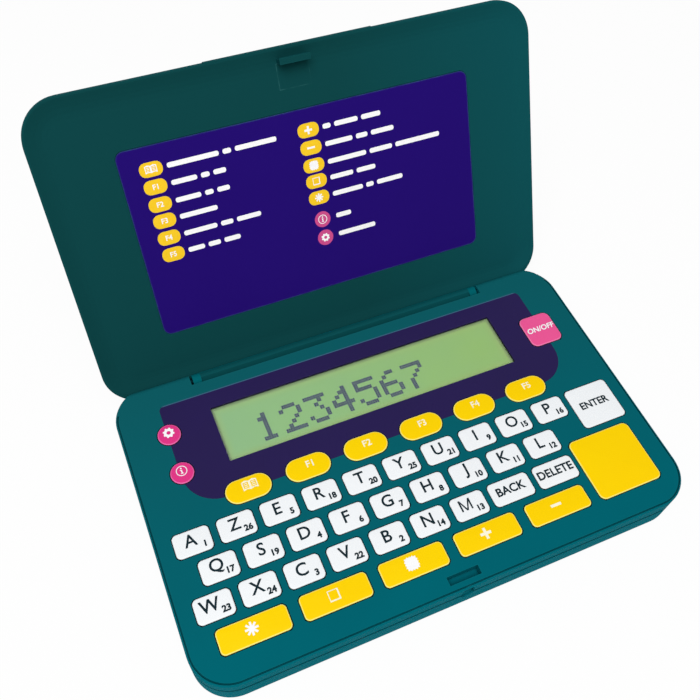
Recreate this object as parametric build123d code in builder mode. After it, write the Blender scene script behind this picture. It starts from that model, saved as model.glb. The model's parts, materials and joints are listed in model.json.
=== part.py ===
from build123d import *
from collections import namedtuple
from math import acos, cos, degrees, radians, sin, sqrt
import os

# A pocket electronic dictionary, modelled with its lid open as far as it goes.
# Millimetres. The origin is the centre of the underside: +X is the user's right,
# +Y runs to the hinge at the rear and +Z is up.

# Case: two moulded shells that meet at the seam
body_width = 131.3
body_depth = 81.2
body_corner = 10.0
seam_height = 7.4
face_height = 11.5
case_wall = 1.8
floor_wall = 1.8
face_wall = 1.6
bottom_round = 1.2
face_round = 0.3
seam_groove_height = 0.9
seam_groove_depth = 0.4
face_groove_inset = 0.4
face_groove_width = 0.4
face_groove_depth = 0.5
face_groove_rear_gap = 6.5

# Hinge: an axis across the rear, level with the face but for its own radius
lid_open = 117.27
hinge_inset = 2.1
shoulder_radius = 1.77
barrel_radius = 1.75
barrel_gap = 0.35
barrel_end_gap = 0.71
shoulder_width = 21.7
knuckle_width = 2.3
tongue_flat = 1.25
shoulder_end_angle = 80.0
recess_foot = 1.1
neck_inner = 0.3
pin_radius = 0.8
pin_length = 6.0
pin_in_knuckle = 1.9
pin_play = 0.06
pin_fit = 0.04

# Lid
lid_gap = 0.1
lid_thickness = 3.2
lid_recess = 1.0
lid_side_inset = 0.35
lid_end_inset = 0.2
lid_round = 1.6
lid_rim_width = 0.5
lid_slope_width = 5.0
lid_slope_steps = 4
lid_lip_width = 42.8
lid_lip_proud = 0.2
lid_lip_height = 1.6
label_width = 93.2
label_depth = 49.25
label_corner = 2.1
label_fit = 0.2
label_y = -0.37
label_thickness = 0.25
label_pocket = 0.15

# Latch: a hook under the lid's front edge and a slot in the face
latch_y_from_front = 3.2
latch_slot_width = 8.4
latch_slot_depth = 2.2
latch_pocket_play = 0.3
latch_pocket_wall = 0.8
hook_width = 7.8
hook_thickness = 1.1
hook_reach = 2.3
hook_barb = 0.35
hook_barb_height = 0.7
notch_width = 3.2
notch_height = 5.9
notch_depth = 0.6

# Keys
key_pitch = 11.0
row_pitch = 8.25
column_gap = 1.9
row_gap = 1.9
front_row_from_front = 10.08
top_row_centre_x = -7.1
middle_row_shift = 3.88
key_corner = 1.25
key_proud = 0.25
key_edge = 0.2
key_clearance = 0.22
key_travel = 0.5
flange_margin = 0.5
flange_thickness = 0.8
flange_gap = 0.1
function_width = 11.5
function_gap = 1.6
enter_width = 12.9
enter_depth = 12.0
enter_gap = 1.7
enter_below_top_row = 2.77
pad_width = 18.4
pad_depth = 17.3
pad_corner = 1.7
pad_gap = 1.26
pad_above_front_row = 5.48
bar_depth = 6.2
bar_pitch = 20.0
bar_gap = 3.0
bar_row_centre_x = -9.9
pill_depth = 6.4
pill_pitch = 15.9
pill_gap = 4.0
power_width = 9.7
power_depth = 10.0
power_corner = 1.9
power_x = 53.85
power_from_rear = 22.25
round_key_diameter = 6.0
round_key_x = -53.7
round_key_from_rear = 16.53
round_key_pitch = 11.55

# Display
bezel_width = 108.3
bezel_depth = 30.5
bezel_from_rear = 7.73
bezel_thickness = 0.4
bezel_top_corner = 1.6
bezel_bottom_corner = 9.0
bezel_fit = 0.05
opening_width = 83.2
opening_depth = 16.45
opening_from_rear = 12.8
window_thickness = 0.4
window_margin = 2.0
shelf_thickness = 0.4
shelf_setback = 0.6
lcd_margin = 2.8
lcd_thickness = 2.2
lcd_play = 0.3
connector_width = 2.0

# Board and key mat
board_height = 6.2
board_thickness = 1.0
board_side_gap = 2.35
board_front_from_front = 6.3
board_rear_gap = 0.9
mat_thickness = 0.8
mat_margin = 1.0
bump_radius = 1.6
bump_travel_gap = 0.1
chip_radius = 6.0
chip_height = 1.2
chip_x = -44.0
post_radius = 1.5
post_spacing_x = 104.0
post_spacing_y = 50.0

# Battery bay
cell_diameter = 20.0
cell_thickness = 3.2
cell_play = 0.8
bay_y = 8.0
bay_wall = 1.2
bay_roof = 0.7
contact_thickness = 0.3
contact_length = 14.0
contact_width = 5.0
door_thickness = 1.2
door_left = -24.5
door_right = 29.5
door_depth = 24.0
door_gap = 0.15
door_tab_width = 4.0
door_tab_reach = 1.5
door_tab_thickness = 0.8
door_tab_spacing = 14.0
door_pad_length = 14.0
door_pad_width = 2.0
door_screw_from_right = 3.5

# Screws
screw_radius = 1.0
screw_head_radius = 1.9
screw_head_height = 1.0
screw_play = 0.1
screw_fit = 0.03
screw_tip_height = 9.6
door_screw_head_height = 0.7
door_screw_tip_height = 4.8
boss_radius = 2.1
corner_screw_x = 57.5
middle_screw_x = 26.0
screw_from_edge = 4.1

# Places worked out from the sizes above
letter_width = key_pitch - column_gap
key_depth = row_pitch - row_gap
bar_width = bar_pitch - bar_gap
pill_width = pill_pitch - pill_gap
half_width = body_width / 2
half_depth = body_depth / 2
ceiling = face_height - face_wall
hinge_y = half_depth - hinge_inset
hinge_z = face_height - shoulder_radius
recess_radius = barrel_radius + barrel_gap
recess_half = half_width - shoulder_width
hinge_block_front = hinge_y - recess_radius - face_wall
barrel_half = recess_half - barrel_end_gap
front_row_y = -half_depth + front_row_from_front
latch_y = -half_depth + latch_y_from_front
bezel_y = half_depth - bezel_from_rear - bezel_depth / 2
opening_y = half_depth - opening_from_rear - opening_depth / 2
bezel_seat = face_height - bezel_thickness
window_seat = bezel_seat - window_thickness
lcd_top = window_seat - shelf_thickness
lcd_bottom = lcd_top - lcd_thickness
board_top = board_height + board_thickness
flange_bottom = ceiling - flange_gap - flange_thickness
bump_top = flange_bottom - key_travel - bump_travel_gap
key_top = face_height + key_proud
bay_width = 2 * cell_diameter + 3 * cell_play
bay_depth = cell_diameter + cell_play
bay_ceiling = board_height - bay_roof
cell_top = bay_ceiling - contact_thickness
cell_bottom = cell_top - cell_thickness
cell_x = (cell_diameter + cell_play) / 2
door_screw_x = door_right - door_screw_from_right
screw_y = half_depth - screw_from_edge
lid_rim = face_height + lid_gap
lid_inner = lid_rim + lid_recess
hook_tip = lid_rim - hook_reach
latch_floor = hook_tip - latch_pocket_play
lid_rear_offset = hinge_inset - lid_end_inset
stop_distance = lid_rear_offset + lid_gap
reach = 8.0

# The hinge's cross-section, with its axis at the section's origin: first for the case,
# then turned with the lid, so that the lid is drawn as if it were shut.
hinge_section = Plane(origin=(0, hinge_y, hinge_z), x_dir=(0, 1, 0), z_dir=(1, 0, 0))
hinge_place = Location((0, hinge_y, hinge_z))
lid_frame = Plane(hinge_place * Location((0, 0, 0), (-lid_open, 0, 0)) * hinge_place.inverse())
lid_section = Plane(origin=(0, hinge_y, hinge_z), x_dir=lid_frame.y_dir, z_dir=(1, 0, 0))


Key = namedtuple("Key", "name x y width depth corner")


def row_y(row):
    """Centre line of a key row, counted from the front."""
    return front_row_y + row * row_pitch


def spread(names, centre_x, pitch):
    """Pair each name with its place in an evenly spaced row."""
    start = centre_x - pitch * (len(names) - 1) / 2
    return [(name, start + pitch * place) for place, name in enumerate(names)]


def list_keys():
    """Every key on the face, row by row from the front."""
    keys = []
    bars = ["star", "square", "tile", "plus", "minus"]
    for name, x in spread(bars, bar_row_centre_x, bar_pitch):
        keys.append(Key(f"key_{name}", x, row_y(0), bar_width, bar_depth, key_corner))
        bars_end = x + bar_width / 2
    top_row = spread("azertyuiop", top_row_centre_x, key_pitch)
    row_start = top_row[0][1]
    letter_rows = {1: ("wxcvbnm", 0), 2: ("qsdfghjkl", middle_row_shift), 3: ("azertyuiop", 0)}
    for row, (letters, shift) in letter_rows.items():
        for place, letter in enumerate(letters):
            x = row_start + shift + place * key_pitch
            keys.append(Key(f"key_{letter}", x, row_y(row), letter_width, key_depth, key_corner))
    row_end = row_start + (len(letter_rows[1][0]) - 1) * key_pitch + letter_width / 2
    for name in ["back", "delete"]:
        x = row_end + function_gap + function_width / 2
        keys.append(Key(f"key_{name}", x, row_y(1), function_width, key_depth, key_corner))
        row_end = x + function_width / 2
    enter_x = top_row[-1][1] + letter_width / 2 + enter_gap + enter_width / 2
    enter_y = row_y(3) - enter_below_top_row
    keys.append(Key("key_enter", enter_x, enter_y, enter_width, enter_depth, key_corner))
    pad_x = max(row_end, bars_end) + pad_gap + pad_width / 2
    pad_y = row_y(0) + pad_above_front_row
    keys.append(Key("key_cursor_pad", pad_x, pad_y, pad_width, pad_depth, pad_corner))
    pills = ["look_up", "build", "place", "list", "score", "games"]
    for name, x in spread(pills, 0, pill_pitch):
        keys.append(Key(f"key_{name}", x, row_y(4), pill_width, pill_depth, pill_depth / 2))
    power_y = half_depth - power_from_rear
    keys.append(Key("key_power", power_x, power_y, power_width, power_depth, power_corner))
    for place, name in enumerate(["settings", "info"]):
        y = half_depth - round_key_from_rear - place * round_key_pitch
        size = round_key_diameter
        keys.append(Key(f"key_{name}", round_key_x, y, size, size, size / 2))
    return keys


def draw_key(key, grow=0):
    """Outline of a key in the open sketch: round, with round ends, or with rounded corners."""
    width = key.width + 2 * grow
    depth = key.depth + 2 * grow
    with Locations((key.x, key.y)):
        if key.width == 2 * key.corner:
            Circle(width / 2)
        elif key.depth == 2 * key.corner:
            SlotOverall(width, depth)
        else:
            RectangleRounded(width, depth, key.corner + grow)


def draw_hole(key):
    """Hole for a key, with clearance all round; straight cuts pass outside the key's rounded corners."""
    if key.depth == 2 * key.corner:
        draw_key(key, key_clearance)
        return
    x = key.width / 2 + key_clearance
    y = key.depth / 2 + key_clearance
    cut = (key.corner + key_clearance) * (2 - sqrt(2))
    with Locations((key.x, key.y)):
        Polygon(
            (x, y - cut),
            (x - cut, y),
            (cut - x, y),
            (-x, y - cut),
            (-x, cut - y),
            (cut - x, -y),
            (x - cut, -y),
            (x, cut - y),
        )


def ledge(y):
    """Height, from the hinge axis, of the sloping ledge that the open lid comes to rest on."""
    opened = radians(lid_open)
    return (cos(opened) * y - stop_distance) / sin(opened)


def cavity_outline():
    """Inside of the case, short of the solid block that carries the hinge."""
    inner_width = body_width - 2 * case_wall
    inner_depth = body_depth - 2 * case_wall
    block_depth = half_depth - hinge_block_front
    with BuildSketch() as cavity:
        RectangleRounded(inner_width, inner_depth, body_corner - case_wall)
        with Locations((0, half_depth)):
            Rectangle(body_width, 2 * block_depth, mode=Mode.SUBTRACT)
    return cavity.sketch


def outline_band(inset, width):
    """Band of the given width that follows the case's outline, so far inside it."""
    with BuildSketch() as band:
        for edge, mode in [(inset, Mode.ADD), (inset + width, Mode.SUBTRACT)]:
            RectangleRounded(
                body_width - 2 * edge, body_depth - 2 * edge, body_corner - edge, mode=mode
            )
    return band.sketch


def rear_relief():
    """Section of what is cut away behind the shoulders, so that the lid's rear wall can swing down."""
    end = radians(-shoulder_end_angle)
    foot = stop_distance / cos(radians(lid_open - shoulder_end_angle))
    with BuildSketch(hinge_section) as relief:
        with BuildLine():
            CenterArc((0, 0), shoulder_radius, -shoulder_end_angle, 90 + shoulder_end_angle)
            Polyline(
                (0, shoulder_radius),
                (0, reach),
                (reach, reach),
                (reach, ledge(reach)),
                (foot * cos(end), foot * sin(end)),
                (shoulder_radius * cos(end), shoulder_radius * sin(end)),
            )
        make_face()
    return relief.sketch


def hinge_recess():
    """Section of the trough between the shoulders, in which the lid's barrel turns."""
    meets_ledge = 360 - lid_open - degrees(acos(stop_distance / recess_radius))
    with BuildSketch(hinge_section) as recess:
        with BuildLine():
            trough = CenterArc((0, 0), recess_radius, 180, meets_ledge - 180)
            Polyline(
                trough @ 1,
                (reach, ledge(reach)),
                (reach, reach),
                (-recess_radius, reach),
                (-recess_radius, 0),
            )
        make_face()
    return recess.sketch


def screw_places(rear):
    """Centres of the case screws, at the front or in the hinge block at the rear."""
    if rear:
        return [(-corner_screw_x, screw_y), (corner_screw_x, screw_y)]
    front = [corner_screw_x, middle_screw_x, -middle_screw_x, -corner_screw_x]
    return [(x, -screw_y) for x in front]


def bezel_outline(keys, grow=0):
    """The display's surround, cut by the keys that stand in its edge."""
    low = bezel_y - bezel_depth / 2
    with BuildSketch() as outline:
        with Locations((0, bezel_y)):
            Rectangle(bezel_width + 2 * grow, bezel_depth + 2 * grow)
        fillet(outline.vertices().group_by(Axis.Y)[-1], radius=bezel_top_corner + grow)
        fillet(outline.vertices().group_by(Axis.Y)[0], radius=bezel_bottom_corner + grow)
    with BuildSketch() as cut_outs:
        for key in keys:
            if key.y + key.depth / 2 > low:
                draw_hole(key)
    return outline.sketch - cut_outs.sketch


def save(piece, name):
    piece.part.label = name
    export_step(piece.part, f"parts/{name}.step")


def make_bottom_case():
    """Tray of the case, with the battery bay, the screw bosses and the ledge that stops the lid."""
    with BuildPart() as bottom_case:
        with BuildSketch():
            RectangleRounded(body_width, body_depth, body_corner)
        extrude(amount=seam_height)
        fillet(bottom_case.edges().group_by(Axis.Z)[0], radius=bottom_round)
        with BuildSketch(Plane.XY.offset(seam_height)):
            add(outline_band(0, seam_groove_depth))
        extrude(amount=-seam_groove_height / 2, mode=Mode.SUBTRACT)

        with BuildSketch(Plane.XY.offset(floor_wall)):
            add(cavity_outline())
        extrude(amount=seam_height, mode=Mode.SUBTRACT)

        # Rear: the ledge behind the shoulders, and the beam that closes the trough between them
        extrude(rear_relief(), amount=body_width, both=True, mode=Mode.SUBTRACT)
        beam_front = recess_foot - recess_radius + bezel_fit
        seam = seam_height - hinge_z
        with BuildSketch(hinge_section):
            with BuildLine():
                Polyline(
                    (beam_front, seam - face_wall),
                    (beam_front, ledge(beam_front)),
                    (hinge_inset, ledge(hinge_inset)),
                    (hinge_inset, seam - face_wall),
                    close=True,
                )
            make_face()
        extrude(amount=recess_half - bezel_fit, both=True)

        # Bosses for the case screws, and posts under the board
        with BuildSketch(Plane.XY.offset(floor_wall)):
            with Locations(screw_places(rear=False)):
                Circle(boss_radius)
        extrude(amount=seam_height - floor_wall)
        with BuildSketch(Plane.XY.offset(floor_wall)):
            with GridLocations(post_spacing_x, post_spacing_y, 2, 2):
                Circle(post_radius)
        extrude(amount=board_height - floor_wall)
        with Locations(Plane.XY.rotated((180, 0, 0))):
            with Locations([(x, -y) for x, y in screw_places(False) + screw_places(True)]):
                CounterBoreHole(
                    radius=screw_radius + screw_play,
                    counter_bore_radius=screw_head_radius + screw_play,
                    counter_bore_depth=screw_head_height + screw_play,
                    depth=seam_height,
                )

        # Battery bay: a boxed tray over an opening in the floor, with the door's seat around it
        with BuildSketch(Plane.XY.offset(floor_wall)):
            with Locations((0, bay_y)):
                Rectangle(bay_width + 2 * bay_wall, bay_depth + 2 * bay_wall)
            with Locations((door_screw_x, bay_y)):
                Circle(boss_radius)
        extrude(amount=board_height - floor_wall)
        with BuildSketch():
            with Locations((0, bay_y)):
                Rectangle(bay_width, bay_depth)
        extrude(amount=bay_ceiling, mode=Mode.SUBTRACT)
        with BuildSketch():
            with Locations(((door_left + door_right) / 2, bay_y)):
                Rectangle(door_right - door_left, door_depth)
        extrude(amount=door_thickness, mode=Mode.SUBTRACT)
        with BuildSketch():
            with Locations((door_screw_x, bay_y)):
                Circle(screw_radius + screw_fit)
        extrude(amount=door_screw_tip_height + door_gap, mode=Mode.SUBTRACT)
        with BuildSketch():
            with Locations((door_left + door_tab_reach / 2, bay_y)):
                with GridLocations(0, door_tab_spacing, 1, 2):
                    Rectangle(door_tab_reach, door_tab_width + 2 * door_gap)
        extrude(amount=floor_wall, mode=Mode.SUBTRACT)

        # Finger notch down the front wall, across the seam
        with BuildSketch(Plane.XZ.offset(half_depth - notch_depth)):
            with Locations((0, face_height - notch_height / 2 - bezel_thickness)):
                SlotOverall(notch_height, notch_width, rotation=90)
        extrude(amount=notch_depth, mode=Mode.SUBTRACT)
    return bottom_case


def make_top_case(keys):
    """Face of the case, with the key holes, the display's seats, the latch and the hinge shoulders."""
    with BuildPart() as top_case:
        with BuildSketch(Plane.XY.offset(seam_height)):
            RectangleRounded(body_width, body_depth, body_corner)
        extrude(amount=face_height - seam_height)
        fillet(top_case.edges().group_by(Axis.Z)[-1], radius=face_round)
        with BuildSketch(Plane.XY.offset(seam_height)):
            add(outline_band(0, seam_groove_depth))
        extrude(amount=seam_groove_height / 2, mode=Mode.SUBTRACT)
        with BuildSketch(Plane.XY.offset(seam_height)):
            add(cavity_outline())
        extrude(amount=ceiling - seam_height, mode=Mode.SUBTRACT)

        # Hinge: rounded shoulders, and the trough between them
        extrude(rear_relief(), amount=body_width, both=True, mode=Mode.SUBTRACT)
        extrude(hinge_recess(), amount=recess_half, both=True, mode=Mode.SUBTRACT)
        with BuildSketch(Plane.XY.offset(seam_height)):
            with Locations((0, hinge_y - recess_radius + recess_foot + reach / 2)):
                Rectangle(2 * recess_half, reach)
        extrude(amount=face_height, mode=Mode.SUBTRACT)
        for side in (-1, 1):
            with BuildSketch(hinge_section.offset(side * recess_half)):
                Circle(pin_radius + pin_fit)
            extrude(amount=side * (pin_length - pin_in_knuckle), mode=Mode.SUBTRACT)

        # Bosses that the case screws bite into
        with BuildSketch(Plane.XY.offset(seam_height)):
            with Locations(screw_places(rear=False)):
                Circle(boss_radius)
        extrude(amount=ceiling - seam_height)
        with BuildSketch(Plane.XY.offset(seam_height)):
            with Locations(screw_places(False) + screw_places(True)):
                Circle(screw_radius + screw_fit)
        extrude(amount=screw_tip_height + screw_play - seam_height, mode=Mode.SUBTRACT)

        # Key holes go right through the face; the latch slot opens into a pocket behind the front wall
        with BuildSketch(Plane.XY.offset(ceiling)):
            for key in keys:
                draw_hole(key)
        extrude(amount=face_wall, mode=Mode.SUBTRACT)
        with BuildSketch(Plane.XY.offset(latch_floor - latch_pocket_wall)):
            with Locations((0, latch_y)):
                Rectangle(
                    latch_slot_width + 2 * latch_pocket_wall,
                    latch_slot_depth + 2 * latch_pocket_wall,
                )
        extrude(amount=ceiling - latch_floor + latch_pocket_wall)
        with BuildSketch(Plane.XY.offset(latch_floor)):
            with Locations((0, latch_y)):
                Rectangle(latch_slot_width, latch_slot_depth)
        extrude(amount=face_height - latch_floor, mode=Mode.SUBTRACT)

        # Fine groove along the front and the sides, just inside the rounded edge
        with BuildSketch(Plane.XY.offset(face_height)):
            add(outline_band(face_groove_inset, face_groove_width))
            with Locations((0, half_depth)):
                Rectangle(body_width, 2 * face_groove_rear_gap, mode=Mode.SUBTRACT)
        extrude(amount=-face_groove_depth, mode=Mode.SUBTRACT)

        # Display, from above: the bezel's seat, the window's seat, then the opening over the glass
        with BuildSketch(Plane.XY.offset(bezel_seat)):
            add(bezel_outline(keys, bezel_fit))
        extrude(amount=bezel_thickness, mode=Mode.SUBTRACT)
        with BuildSketch(Plane.XY.offset(window_seat)):
            with Locations((0, opening_y)):
                Rectangle(
                    opening_width + 2 * (window_margin + bezel_fit),
                    opening_depth + 2 * (window_margin + bezel_fit),
                )
        extrude(amount=window_thickness, mode=Mode.SUBTRACT)
        with BuildSketch(Plane.XY.offset(ceiling)):
            with Locations((0, opening_y)):
                Rectangle(opening_width + 2 * shelf_setback, opening_depth + 2 * shelf_setback)
        extrude(amount=face_wall, mode=Mode.SUBTRACT)
        with BuildSketch(Plane.XY.offset(ceiling)):
            with Locations((0, opening_y)):
                Rectangle(
                    opening_width + 2 * (lcd_margin + lcd_play),
                    opening_depth + 2 * (lcd_margin + lcd_play),
                )
        extrude(amount=lcd_top - ceiling, mode=Mode.SUBTRACT)

        # Upper half of the finger notch
        with BuildSketch(Plane.XZ.offset(half_depth - notch_depth)):
            with Locations((0, face_height - notch_height / 2 - bezel_thickness)):
                SlotOverall(notch_height, notch_width, rotation=90)
        extrude(amount=notch_depth, mode=Mode.SUBTRACT)
    return top_case


def make_display_bezel(keys):
    """Thin moulded surround laid flush in the face around the display."""
    with BuildPart() as display_bezel:
        with BuildSketch(Plane.XY.offset(bezel_seat)):
            add(bezel_outline(keys))
            with Locations((0, opening_y)):
                Rectangle(opening_width, opening_depth, mode=Mode.SUBTRACT)
        extrude(amount=bezel_thickness)
    return display_bezel


def make_display_window():
    """Clear sheet under the bezel."""
    with BuildPart() as display_window:
        with BuildSketch(Plane.XY.offset(window_seat)):
            with Locations((0, opening_y)):
                Rectangle(opening_width + 2 * window_margin, opening_depth + 2 * window_margin)
        extrude(amount=window_thickness)
    return display_window


def make_lcd_panel():
    """The display's glass sandwich, held up against the shelf under the window."""
    with BuildPart() as lcd_panel:
        with BuildSketch(Plane.XY.offset(lcd_bottom)):
            with Locations((0, opening_y)):
                Rectangle(opening_width + 2 * lcd_margin, opening_depth + 2 * lcd_margin)
        extrude(amount=lcd_thickness)
    return lcd_panel


def make_lcd_connector():
    """Two elastomer strips that join the glass to the board along its long edges."""
    strip_spacing = opening_depth + 2 * lcd_margin - connector_width
    with BuildPart() as lcd_connector:
        with BuildSketch(Plane.XY.offset(board_top)):
            with Locations((0, opening_y)):
                with GridLocations(0, strip_spacing, 1, 2):
                    Rectangle(opening_width, connector_width)
        extrude(amount=lcd_bottom - board_top)
    return lcd_connector


def make_key_mat(keys):
    """Rubber sheet on the board, with a bump under the middle of each key."""
    key_rows = [key for key in keys if key.y < row_y(4) + row_pitch / 2]
    side_keys = [key for key in keys if key not in key_rows]
    left = min(key.x - key.width / 2 for key in key_rows) + flange_margin
    right = max(key.x + key.width / 2 for key in key_rows) - flange_margin
    front = front_row_y - bar_depth / 2
    rear = row_y(4) + pill_depth / 2
    with BuildPart() as key_mat:
        with BuildSketch(Plane.XY.offset(board_top)):
            with Locations(((left + right) / 2, (front + rear) / 2)):
                Rectangle(right - left, rear - front)
            for key in side_keys:
                top = key.y + key.depth / 2
                with Locations((key.x, (rear - mat_margin + top) / 2)):
                    Rectangle(key.width, top - rear + mat_margin)
        extrude(amount=mat_thickness)
        with BuildSketch(Plane.XY.offset(board_top + mat_thickness)):
            with Locations([(key.x, key.y) for key in keys]):
                RegularPolygon(bump_radius, side_count=8)
        extrude(amount=bump_top - board_top - mat_thickness)
    return key_mat


def make_main_board():
    """Circuit board over the battery bay, with the processor under a blob of resin on its underside."""
    front = -half_depth + board_front_from_front
    rear = hinge_block_front - board_rear_gap
    with BuildPart() as main_board:
        with BuildSketch(Plane.XY.offset(board_height)):
            with Locations((0, (front + rear) / 2)):
                Rectangle(body_width - 2 * (case_wall + board_side_gap), rear - front)
        extrude(amount=board_thickness)
        with BuildSketch(Plane.XY.offset(board_height)):
            with Locations((chip_x, bay_y)):
                Circle(chip_radius)
        extrude(amount=-chip_height, taper=30)
    return main_board


def make_battery_door():
    """Flush door in the underside: two tabs at one end, a screw at the other."""
    with BuildPart() as battery_door:
        with BuildSketch():
            with Locations(((door_left + door_right) / 2, bay_y)):
                Rectangle(door_right - door_left - 2 * door_gap, door_depth - 2 * door_gap)
        extrude(amount=door_thickness)
        with BuildSketch(Plane.XY.offset(door_thickness)):
            with Locations((door_left + (door_tab_reach + door_gap) / 2, bay_y)):
                with GridLocations(0, door_tab_spacing, 1, 2):
                    Rectangle(door_tab_reach - door_gap, door_tab_width)
        extrude(amount=floor_wall + door_gap + door_tab_thickness - door_thickness)
        with BuildSketch(Plane.XY.offset(floor_wall + door_gap)):
            with Locations((door_left, bay_y)):
                with GridLocations(0, door_tab_spacing, 1, 2):
                    Rectangle(2 * door_tab_reach, door_tab_width)
        extrude(amount=door_tab_thickness)
        with BuildSketch(Plane.XY.offset(door_thickness)):
            with Locations((0, bay_y)):
                with GridLocations(2 * cell_x, 0, 2, 1):
                    Rectangle(door_pad_length, door_pad_width)
        extrude(amount=cell_bottom - door_thickness)
        with Locations(Plane.XY.rotated((180, 0, 0))):
            with Locations((door_screw_x, -bay_y)):
                CounterBoreHole(
                    radius=screw_radius + screw_play,
                    counter_bore_radius=screw_head_radius + screw_play,
                    counter_bore_depth=door_screw_head_height,
                    depth=door_thickness,
                )
    return battery_door


def make_screws(places, head_height, tip_height):
    """Pan-headed screws driven up from the underside."""
    with BuildPart() as screws:
        with BuildSketch(Plane.XY.offset(screw_play)):
            with Locations(places):
                Circle(screw_head_radius)
        extrude(amount=head_height - screw_play)
        with BuildSketch(Plane.XY.offset(head_height)):
            with Locations(places):
                Circle(screw_radius)
        extrude(amount=tip_height - head_height)
    return screws


def make_coin_cells():
    """Two coin cells side by side: a can, and a smaller cap on top of it."""
    cap_height = cell_thickness / 8
    with BuildPart() as coin_cells:
        with BuildSketch(Plane.XY.offset(cell_bottom)):
            with Locations((-cell_x, bay_y), (cell_x, bay_y)):
                Circle(cell_diameter / 2)
        extrude(amount=cell_thickness - cap_height)
        with BuildSketch(Plane.XY.offset(cell_top - cap_height)):
            with Locations((-cell_x, bay_y), (cell_x, bay_y)):
                Circle(cell_diameter / 2 - bay_wall)
        extrude(amount=cap_height)
    return coin_cells


def make_battery_contacts():
    """Sprung strips under the bay's roof, one on each cell, and the clip between the cells."""
    with BuildPart() as battery_contacts:
        with BuildSketch(Plane.XY.offset(cell_top)):
            with Locations((-cell_x, bay_y), (cell_x, bay_y)):
                Rectangle(contact_length, contact_width)
        extrude(amount=contact_thickness)
        with BuildSketch(Plane.XY.offset(cell_bottom)):
            with Locations((0, bay_y)):
                Rectangle(contact_thickness, contact_width)
        extrude(amount=bay_ceiling - cell_bottom)
    return battery_contacts


def make_hinge_pins():
    """Two steel pins, each held in a shoulder and running in the barrel's end knuckle."""
    with BuildPart() as hinge_pins:
        for side in (-1, 1):
            pin_start = side * (barrel_half - pin_in_knuckle + barrel_end_gap)
            with BuildSketch(hinge_section.offset(pin_start)):
                Circle(pin_radius)
            extrude(amount=side * pin_length)
    return hinge_pins


def make_lid_shell():
    """Lid with a raised rim, a barrel along its rear edge, a hook and a finger lip at the front."""
    lid_width = body_width - 2 * lid_side_inset
    lid_depth = body_depth - 2 * lid_end_inset
    lid_front = -lid_depth / 2
    rear_rim = lid_rear_offset - neck_inner
    outward = Axis(lid_frame.origin, lid_frame.z_dir)
    with BuildPart() as lid_shell:
        with BuildSketch(lid_frame.offset(lid_rim)):
            RectangleRounded(lid_width, lid_depth, body_corner)
        extrude(amount=lid_thickness)
        fillet(lid_shell.faces().sort_by(outward)[-1].edges(), radius=lid_round)
        with BuildSketch(lid_frame.offset(lid_rim)):
            with Locations((0, lid_front)):
                Rectangle(lid_lip_width, 2 * lid_lip_proud)
        extrude(amount=lid_lip_height)

        # Inner recess, which clears the keys, and the label's seat in it. The recess is dished:
        # each step inwards is shallower than the last
        recess_depth = lid_depth - lid_rim_width - rear_rim
        for step in range(lid_slope_steps + 1):
            inset = lid_slope_width * step / lid_slope_steps
            depth = lid_recess * sin(radians(90 * step / lid_slope_steps))
            with BuildSketch(lid_frame.offset(lid_rim + depth)):
                with Locations((0, (lid_rim_width - rear_rim) / 2)):
                    RectangleRounded(
                        lid_width - 2 * (lid_rim_width + inset),
                        recess_depth - 2 * inset,
                        body_corner - lid_rim_width - inset,
                    )
        loft(ruled=True, mode=Mode.SUBTRACT)
        with BuildSketch(lid_frame.offset(lid_inner)):
            with Locations((0, label_y)):
                RectangleRounded(
                    label_width + 2 * label_fit,
                    label_depth + 2 * label_fit,
                    label_corner + label_fit,
                )
        extrude(amount=label_pocket, mode=Mode.SUBTRACT)

        # Barrel and the neck that joins it to the rear wall; flat between its end knuckles
        neck_height = lid_rim - hinge_z + lid_gap
        with BuildSketch(lid_section):
            Circle(barrel_radius)
            with Locations(((neck_inner + barrel_radius) / 2, neck_height / 2)):
                Rectangle(barrel_radius - neck_inner, neck_height)
        extrude(amount=barrel_half, both=True)
        with BuildSketch(lid_section):
            with Locations((0, -tongue_flat - barrel_radius / 2)):
                Rectangle(2 * barrel_radius, barrel_radius)
        extrude(amount=barrel_half - knuckle_width, both=True, mode=Mode.SUBTRACT)
        for side in (-1, 1):
            with BuildSketch(lid_section.offset(side * barrel_half)):
                Circle(pin_radius + pin_play)
            extrude(amount=-side * knuckle_width, mode=Mode.SUBTRACT)

        # Hook: a blade with a small barb towards the front
        hook_front = latch_y - hook_thickness / 2
        with BuildSketch(lid_frame.offset(hook_tip)):
            with Locations((0, latch_y)):
                Rectangle(hook_width, hook_thickness)
        extrude(amount=hook_reach + lid_recess)
        with BuildSketch(lid_frame.offset(hook_tip)):
            with Locations((0, hook_front)):
                Rectangle(hook_width, 2 * hook_barb)
        extrude(amount=hook_barb_height)
    return lid_shell


def make_lid_label():
    """Printed sheet in its seat on the lid's inner face."""
    surface = lid_inner + label_pocket
    with BuildPart() as lid_label:
        with BuildSketch(lid_frame.offset(surface - label_thickness)):
            with Locations((0, label_y)):
                RectangleRounded(label_width, label_depth, label_corner)
        extrude(amount=label_thickness)
    return lid_label


def make_key(key):
    """Moulded key cap with a square flange that keeps it under the face."""
    with BuildPart() as cap:
        with BuildSketch(Plane.XY.offset(flange_bottom)):
            with Locations((key.x, key.y)):
                Rectangle(key.width + 2 * flange_margin, key.depth + 2 * flange_margin)
        extrude(amount=flange_thickness)
        with BuildSketch(Plane.XY.offset(flange_bottom + flange_thickness)):
            draw_key(key)
        extrude(amount=key_top - flange_bottom - flange_thickness)
        chamfer(cap.edges().group_by(Axis.Z)[-1], length=key_edge)
    return cap


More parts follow.
